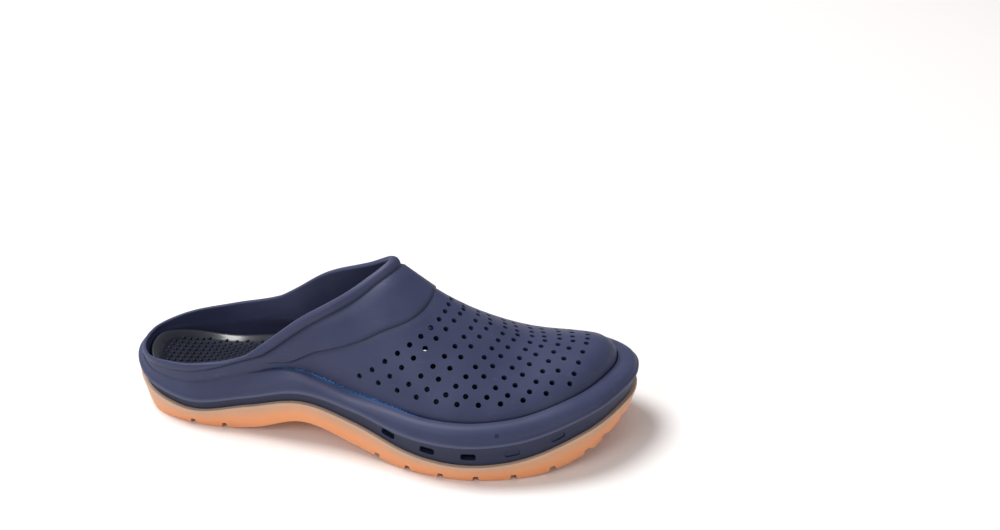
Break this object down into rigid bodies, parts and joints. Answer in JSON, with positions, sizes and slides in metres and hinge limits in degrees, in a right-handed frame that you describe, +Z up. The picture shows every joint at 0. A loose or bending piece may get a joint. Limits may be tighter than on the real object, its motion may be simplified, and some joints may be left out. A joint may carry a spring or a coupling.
{
  "type": "garden clog",
  "caption": "Right-foot slip-on moulded rubber garden clog with perforated vamp, low open heel collar, lugged gum outsole and lift-out footbed.",
  "frame": {"origin": "middle of the clog's box in plan, on the ground", "axes": "+X towards the toe, +Y towards the inner (medial) side of the right foot, +Z up"},
  "size_m": [0.2796, 0.11, 0.0964],
  "materials": {
    "navy_upper": "satin moulded",
    "gum_outsole": "matt gum",
    "dark_footbed": "nubbed foam with a smooth edge",
    "grey_label": "matt sticker"
  },
  "bodies": {
    "clog": {"upper_shell": "navy_upper", "outsole": "gum_outsole", "size_label": "grey_label"},
    "footbed": {"footbed": "dark_footbed"}
  },
  "joints": [
    {"name": "footbed_lift", "type": "hinge", "parent": "clog", "child": "footbed", "pos_m": [0.118, 0, 0.0236], "axis": [0, 1, 0], "range_deg": [0, 8]}
  ]
}
